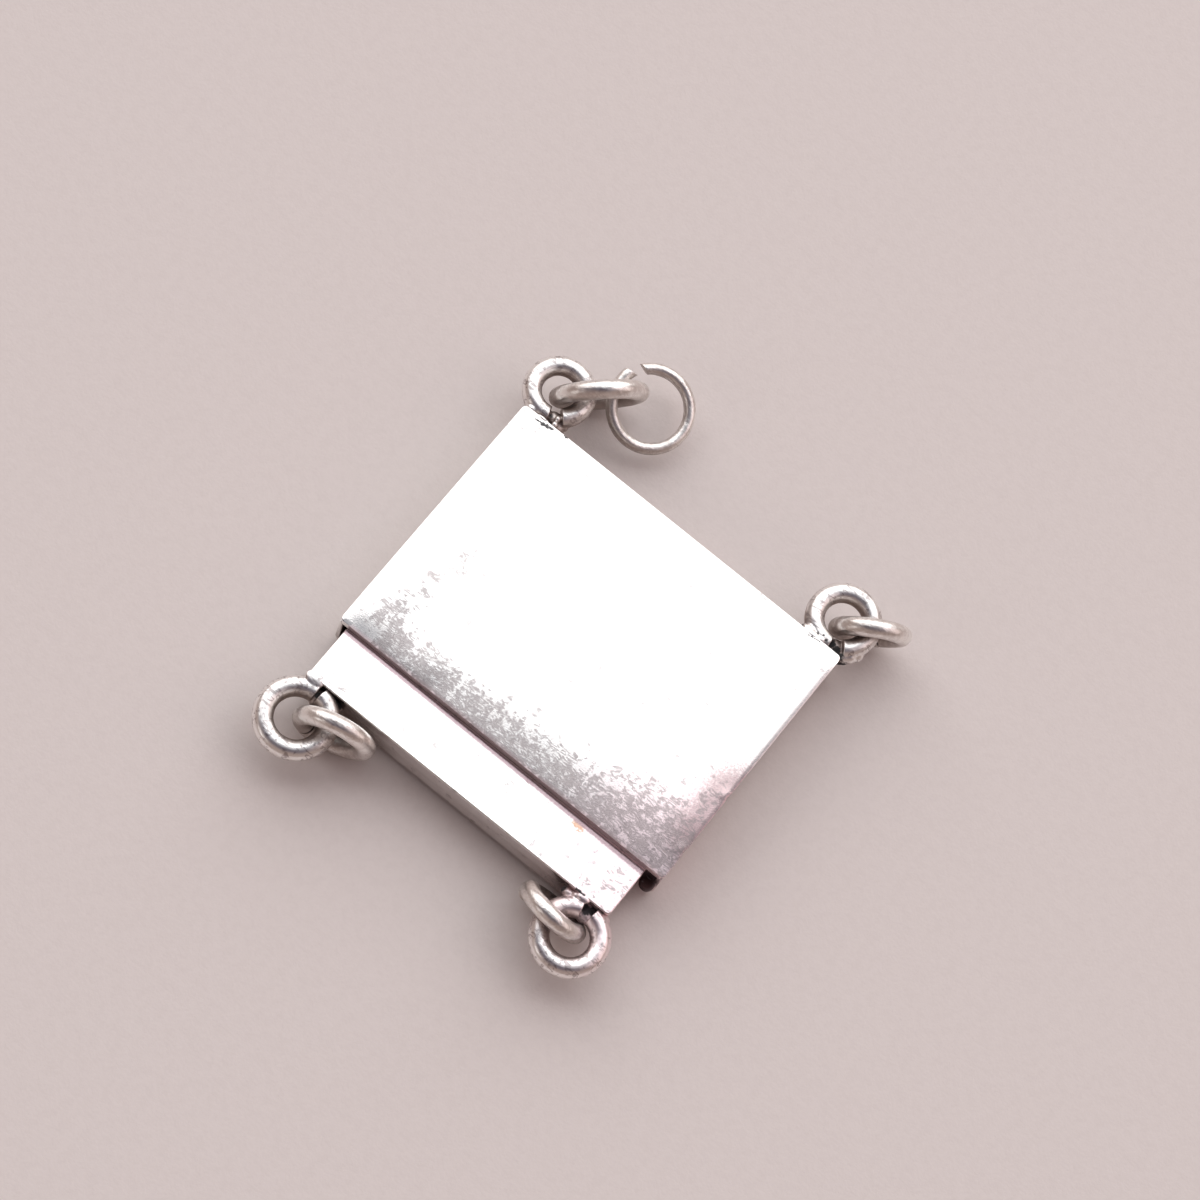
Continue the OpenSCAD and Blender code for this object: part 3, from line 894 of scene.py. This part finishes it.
def silverFinish(name, spec):
    print("finish", name)
    material, tree, shader, base, place = startFinish(name)
    shelterTone, nookTone, sootShadeTone, wireTone, scuffTone, sawnAndReflectionTone = (
        base.node("ShaderNodeAttribute", {"attribute_name": kind}, out="Fac")
        for kind in ("shelter", "nook", "sootAndShade", "wire", "scuff", "sawnAndReflection"))
    blotch = place.noise(*surface["blotch"])
    grime = place.noise(*surface["grime"])
    ragged = place.noise(*surface["ragged"])

    # tarnish, dirt and painted shade in the sheltered places, and black flux with painted shade in
    # the joints
    dirt = surface["blotchDirt"] * (blotch - 0.5) + surface["grimeDirt"] * (grime - 0.5)
    tarnishAndShade = (shelterTone + spec["patchy"] * dirt + spec["wireTarnishShade"] * wireTone).between(
        *spec["tarnishShadeRange"])
    # close recesses go nearly black: tarnish in the hollows, and painted shade in the gaps between
    # parts
    deep = (nookTone + surface["deepDirt"] * dirt).between(*spec["deepRange"])
    # black flux in the joints, with painted shade in their gaps
    sootAndShade = (sootShadeTone + surface["sootShadeDirt"] * (grime - 0.5)).between(*surface["sootShadeRange"])
    if spec["pits"]:
        sootAndShade = sootAndShade.math("MAXIMUM", sootAndShade, marksAt(base, place, ragged, spec["pits"]))
    warm = blotch.between(*surface["warmRange"]).mix(spec["bright"], spec["warm"])
    # tarnish, with painted shade on the sides and undersides
    colour = (tarnishAndShade * spec["tarnishShadeShare"]).mix(warm, spec["tarnishAndShade"])
    colour = (deep * surface["deepShare"]).mix(colour, spec["deep"])
    # the sawn face gets a painted pink reflection
    colour = (sawnAndReflectionTone * surface["sawnAndReflectionShare"]).mix(colour, spec["sawnAndReflection"])

    # each stain, painted shade and painted reflection covers the ones before it
    dull = sawnAndReflectionTone
    for mark in spec["stainsAndLight"]:
        away = awayFrom(base, place, mark["at"], mark.get("to", mark["at"])) / mark["reach"]
        if mark["ragged"]:
            away = away + mark["ragged"] * (ragged - 0.5)
        stainAndLight = (1 - away.between(*surface["stainAndLightRange"])) * mark["share"]
        colour = stainAndLight.mix(colour, mark["colour"])
        if "dull" in mark:
            dull = dull.math("MAXIMUM", dull, stainAndLight)

    # hair scratches lie closest where the metal is scuffed
    scuffed = scuffTone.between(*surface["scuffRange"])
    scuff = scuffTone + surface["scuffBlotch"] * (blotch - 0.5) * scuffed
    scratches = hairlines(place, spec["angles"], spec["density"], spec["length"], spec["line"],
                          surface["hairSeed"], spec["cover"] - spec["scuffCover"] * scuff)
    fine = hairlines(place, spec["fineAngles"], spec["fineDensity"], spec["fineLength"],
                     spec["fineLine"], surface["fineSeed"],
                     spec["fineCover"] - spec["scuffCover"] * scuff)
    hairs = fine.math("MAXIMUM", fine, scratches)
    strong = surface["bareHairs"] + (1 - surface["bareHairs"]) * scuffed
    colour = (hairs * strong * spec["hairShare"]).mix(colour, spec["hair"])
    # the joints' black flux and painted shade go over everything
    colour = (sootAndShade * surface["sootShadeShare"]).mix(colour, spec["sootAndShade"])

    rougher = surface["rougher"]
    roughness = (spec["rough"] + spec["wireRough"] * wireTone + rougher["blotch"] * (blotch - 0.5)
                 + spec["scuffRough"] * scuffTone + rougher["scratches"] * scratches
                 + rougher["tarnishAndShade"] * tarnishAndShade + rougher["deep"] * deep
                 + rougher["sootAndShade"] * sootAndShade + rougher["dull"] * dull)
    dents = spec["dents"] + spec["wireDents"] * wireTone
    height = (spec["grain"] * place.noise(*surface["grain"])
              + dents * place.noise(*surface["dents"]) - spec["scratchDepth"] * scratches
              - spec["fineDepth"] * fine - surface["sootShadeDepth"] * sootAndShade)
    bump = base.node("ShaderNodeBump", {}, {
        "Strength": 1.0, "Distance": spec["bumpDepth"] * mm, "Height": height})
    feed(tree, shader, {
        "Base Color": colour, "Metallic": 1.0 - surface["sootShadeMatt"] * sootAndShade,
        "Roughness": roughness, "Normal": bump})
    return material


polished = {
    "bright": (0.95, 0.935, 0.915, 1), "warm": (0.93, 0.905, 0.88, 1),
    # the tarnish colour doubles as painted shade on sides and undersides
    "tarnishAndShade": (0.31, 0.23, 0.20, 1), "deep": (0.10, 0.07, 0.062, 1),
    # the sawn colour is a painted pink reflection
    "sootAndShade": (0.04, 0.042, 0.046, 1), "sawnAndReflection": (0.95, 0.80, 0.82, 1),
    "hair": (0.34, 0.295, 0.295, 1),
    "tarnishShadeRange": (0.42, 0.88), "tarnishShadeShare": 0.85, "deepRange": (0.55, 0.95),
    "patchy": 0.3, "wireTarnishShade": 0.24, "rough": 0.13, "wireRough": 0.13, "scuffRough": 0.1,
    "angles": (12, 47, 83, 118, 156), "density": 5.0, "length": 0.75, "line": 0.14,
    "fineAngles": (5, 38, 64, 97, 133, 170), "fineDensity": 7.0, "fineLength": 0.45,
    "fineLine": 0.18, "cover": 0.785, "fineCover": 0.795, "scuffCover": 0.255,
    "hairShare": 0.75, "scratchDepth": 0.15, "fineDepth": 0.1,
    "grain": 0.9, "dents": 0.6, "wireDents": 9.0, "bumpDepth": 0.002,
    # black specks at the joints: from, to and reach
    "pits": [((-8.42, 6.44, 3.1), (-8.0, 6.5, 3.1), 0.05),
             ((-8.0, 6.47, 3.1), (-7.52, 6.54, 3.1), 0.09),
             ((-6.81, 6.7, 3.05), (-6.81, 6.7, 3.05), 0.12),
             ((7.39, 6.55, 3.1), (8.05, 6.63, 3.1), 0.045),
             ((6.5, -9.4, 2.45), (7.0, -9.42, 2.45), 0.07)],
    "stainsAndLight": [
        # a painted rosy reflection at the right corner
        {"at": (9.2, -6.7, 3.0), "reach": 7.5, "share": 0.9, "ragged": 0.6,
         "colour": (0.93, 0.77, 0.79, 1)},
        # a tan mark and a brown one on the bar
        {"at": (4.65, -7.05, 2.47), "to": (4.95, -7.1, 2.47), "reach": 0.26, "share": 0.8,
         "ragged": 2.4, "colour": (0.5, 0.27, 0.15, 1)},
        {"at": (1.75, -6.92, 2.47), "to": (1.95, -6.9, 2.47), "reach": 0.16, "share": 0.9,
         "ragged": 2.0, "colour": (0.13, 0.045, 0.04, 1)},
        # a painted reflection of the mouth's face on the bar, along the mouth's edge
        {"at": (-8.7, -6.86, 2.47), "to": (8.3, -6.92, 2.47), "reach": 0.2, "share": 0.95,
         "ragged": 0.6, "colour": (0.34, 0.25, 0.27, 1)},
        # darker streaks along the plate's right edge
        {"at": (9.4, -4.1, 3.1), "to": (9.3, -1.7, 3.1), "reach": 2.3, "share": 0.8,
         "ragged": 0.8, "colour": (0.46, 0.33, 0.335, 1)},
        {"at": (9.2, -1.0, 3.1), "to": (9.2, 5.5, 3.1), "reach": 0.5, "share": 0.5,
         "ragged": 0.8, "colour": (0.5, 0.39, 0.39, 1)},
        # the release tab's end is painted nearly black, as painted shade where it sits low under
        # the plate
        {"at": (8.72, -7.0, 1.7), "reach": 0.95, "share": 1.0, "ragged": 0,
         "colour": (0.05, 0.026, 0.025, 1), "dull": True},
    ],
}
wireSilver = {
    "bright": (0.93, 0.91, 0.88, 1), "warm": (0.86, 0.81, 0.77, 1),
    # on the wires the tarnish colour doubles as painted shade on their sides and undersides
    "tarnishAndShade": (0.27, 0.21, 0.18, 1), "deep": (0.06, 0.045, 0.04, 1),
    "sootAndShade": (0.03, 0.028, 0.03, 1), "sawnAndReflection": (0.58, 0.42, 0.40, 1),
    "hair": (0.36, 0.29, 0.27, 1),
    "tarnishShadeRange": (0.22, 0.75), "tarnishShadeShare": 0.7, "deepRange": (0.5, 0.9),
    "patchy": 0.6, "wireTarnishShade": 0.0, "rough": 0.29, "wireRough": 0.0, "scuffRough": 0.0,
    "angles": (20, 75, 140), "density": 3.0, "length": 1.0, "line": 0.1,
    "fineAngles": (50, 110, 165), "fineDensity": 6.0, "fineLength": 0.5,
    "fineLine": 0.12, "cover": 0.56, "fineCover": 0.52, "scuffCover": 0.0,
    "hairShare": 0.3, "scratchDepth": 1.0, "fineDepth": 0.7,
    "grain": 1.8, "dents": 10.0, "wireDents": 0.0, "bumpDepth": 0.003,
    "pits": [], "stainsAndLight": [],
}

polishedSilver = silverFinish("polishedSilver", polished)
ringSilver = silverFinish("ringSilver", wireSilver)


# Each finished piece stands for its node, and moves with that node's body

def settle(nodeName, piece, material, body):
    only(piece)
    piece.scale = (mm, mm, mm)
    bpy.ops.object.transform_apply(location=True, rotation=True, scale=True)
    piece.data.materials.clear()
    piece.data.materials.append(material)
    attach(piece, body)
    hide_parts(nodeName)


print("settling the pieces")
bodyOf = {n: b for b, nodes in frame["record"]["behaviour"]["bodies"].items() for n in nodes}
for nodeName, piece in pieces.items():
    isWire = nodeName not in ("case", "tongue")
    settle(nodeName, piece, ringSilver if isWire else polishedSilver,
           bodyOf[nodeName])


# Floor, studio surroundings and lights

studio = {
    "floorSize": 1.2, "floor": (0.82, 0.755, 0.73, 1), "floorSpot": (0.80, 0.735, 0.71, 1),
    "floorSpots": (2.0, 5.0, 0.7), "spotRange": (0.4, 0.65), "floorGrain": (6.0, 4.0),
    "floorRough": 0.85, "floorGloss": 0.2, "floorBump": 0.2, "floorDepth": 0.05,
    # the sky: a small cool patch overhead, dusk round it, and warm light near the horizon
    "cool": (0.23, 0.215, 0.235, 1), "coolAt": (0.02, 0.15, 1), "coolReach": (0.01, 0.11),
    "above": (0.44, 0.44, 0.47, 1), "dusk": (0.085, 0.07, 0.095, 1), "duskReach": (0.22, 0.42),
    "horizon": (0.33, 0.25, 0.225, 1), "horizonReach": (0.62, 1.1),
    # each lit panel reaches from its near to its far tilt, in degrees from straight up
    "mainNear": 13.2, "mainFar": 78, "mainAzimuth": 120, "mainAway": 1.6, "mainWide": 3.4,
    "mainGlow": 1.5,
    "fillNear": 55, "fillFar": 70, "fillAzimuth": 235, "fillAway": 0.8, "fillWide": 0.25,
    "fillGlow": 1.2,
    "sideNear": 24, "sideFar": 72, "sideAzimuth": 32, "sideAway": 1.2, "sideWide": 0.9,
    "sideGlow": 0.85,
    "tints": {"main": (1, 1, 1), "fill": (1, 1, 1), "side": (1, 0.85, 0.83)},
}


def addFloor():
    clearSelection()
    bpy.ops.mesh.primitive_plane_add(size=studio["floorSize"], location=(0, 0, 0))
    floor = bpy.context.object
    floor.name = "floor"
    material, tree, shader, base, place = startFinish("floorCard")
    spots = place.noise(*studio["floorSpots"]).between(*studio["spotRange"])
    feed(tree, shader, {
        "Base Color": spots.mix(studio["floor"], studio["floorSpot"]),
        "Roughness": studio["floorRough"], "Specular IOR Level": studio["floorGloss"],
        "Normal": base.node("ShaderNodeBump", {}, {
            "Strength": studio["floorBump"], "Distance": studio["floorDepth"] * mm,
            "Height": place.noise(*studio["floorGrain"])})})
    floor.data.materials.append(material)


def addSoftbox(kind):
    # a lit panel that fills the sky between its two tilts, on one side
    near, far, azimuth = (math.radians(studio[kind + word]) for word in ("Near", "Far", "Azimuth"))
    away, wide = studio[kind + "Away"], studio[kind + "Wide"]
    deep = 2 * away * math.tan((far - near) / 2)
    tilt = (near + far) / 2
    data = bpy.data.lights.new(kind + "Softbox", "AREA")
    data.shape = "RECTANGLE"
    data.size = wide
    data.size_y = deep
    data.energy = studio[kind + "Glow"] * math.pi * wide * deep
    data.color = studio["tints"][kind]
    light = bpy.data.objects.new(kind + "Softbox", data)
    bpy.context.scene.collection.objects.link(light)
    way = Vector((math.sin(tilt) * math.cos(azimuth), math.sin(tilt) * math.sin(azimuth),
                  math.cos(tilt)))
    light.location = way * away
    light.rotation_euler = way.to_track_quat("Z", "Y").to_euler()


def addWorld():
    world = bpy.data.worlds.new("studio")
    bpy.context.scene.world = world
    world.use_nodes = True
    tree = world.node_tree
    base = Tone(tree)
    way = base.node("ShaderNodeTexCoord", out="Generated")
    away = base.node("ShaderNodeVectorMath", {"operation": "DISTANCE"},
                     {0: way, 1: studio["coolAt"]}, "Value")
    colour = away.between(*studio["coolReach"]).mix(studio["cool"], studio["above"])
    colour = away.between(*studio["duskReach"]).mix(colour, studio["dusk"])
    colour = away.between(*studio["horizonReach"]).mix(colour, studio["horizon"])
    tree.links.new(colour.socket, tree.nodes["Background"].inputs["Color"])
    tree.nodes["Background"].inputs["Strength"].default_value = 1.0


print("studio")
addFloor()
addWorld()
for lightName in studio["tints"]:
    addSoftbox(lightName)
bpy.context.scene.view_settings.view_transform = "Standard"
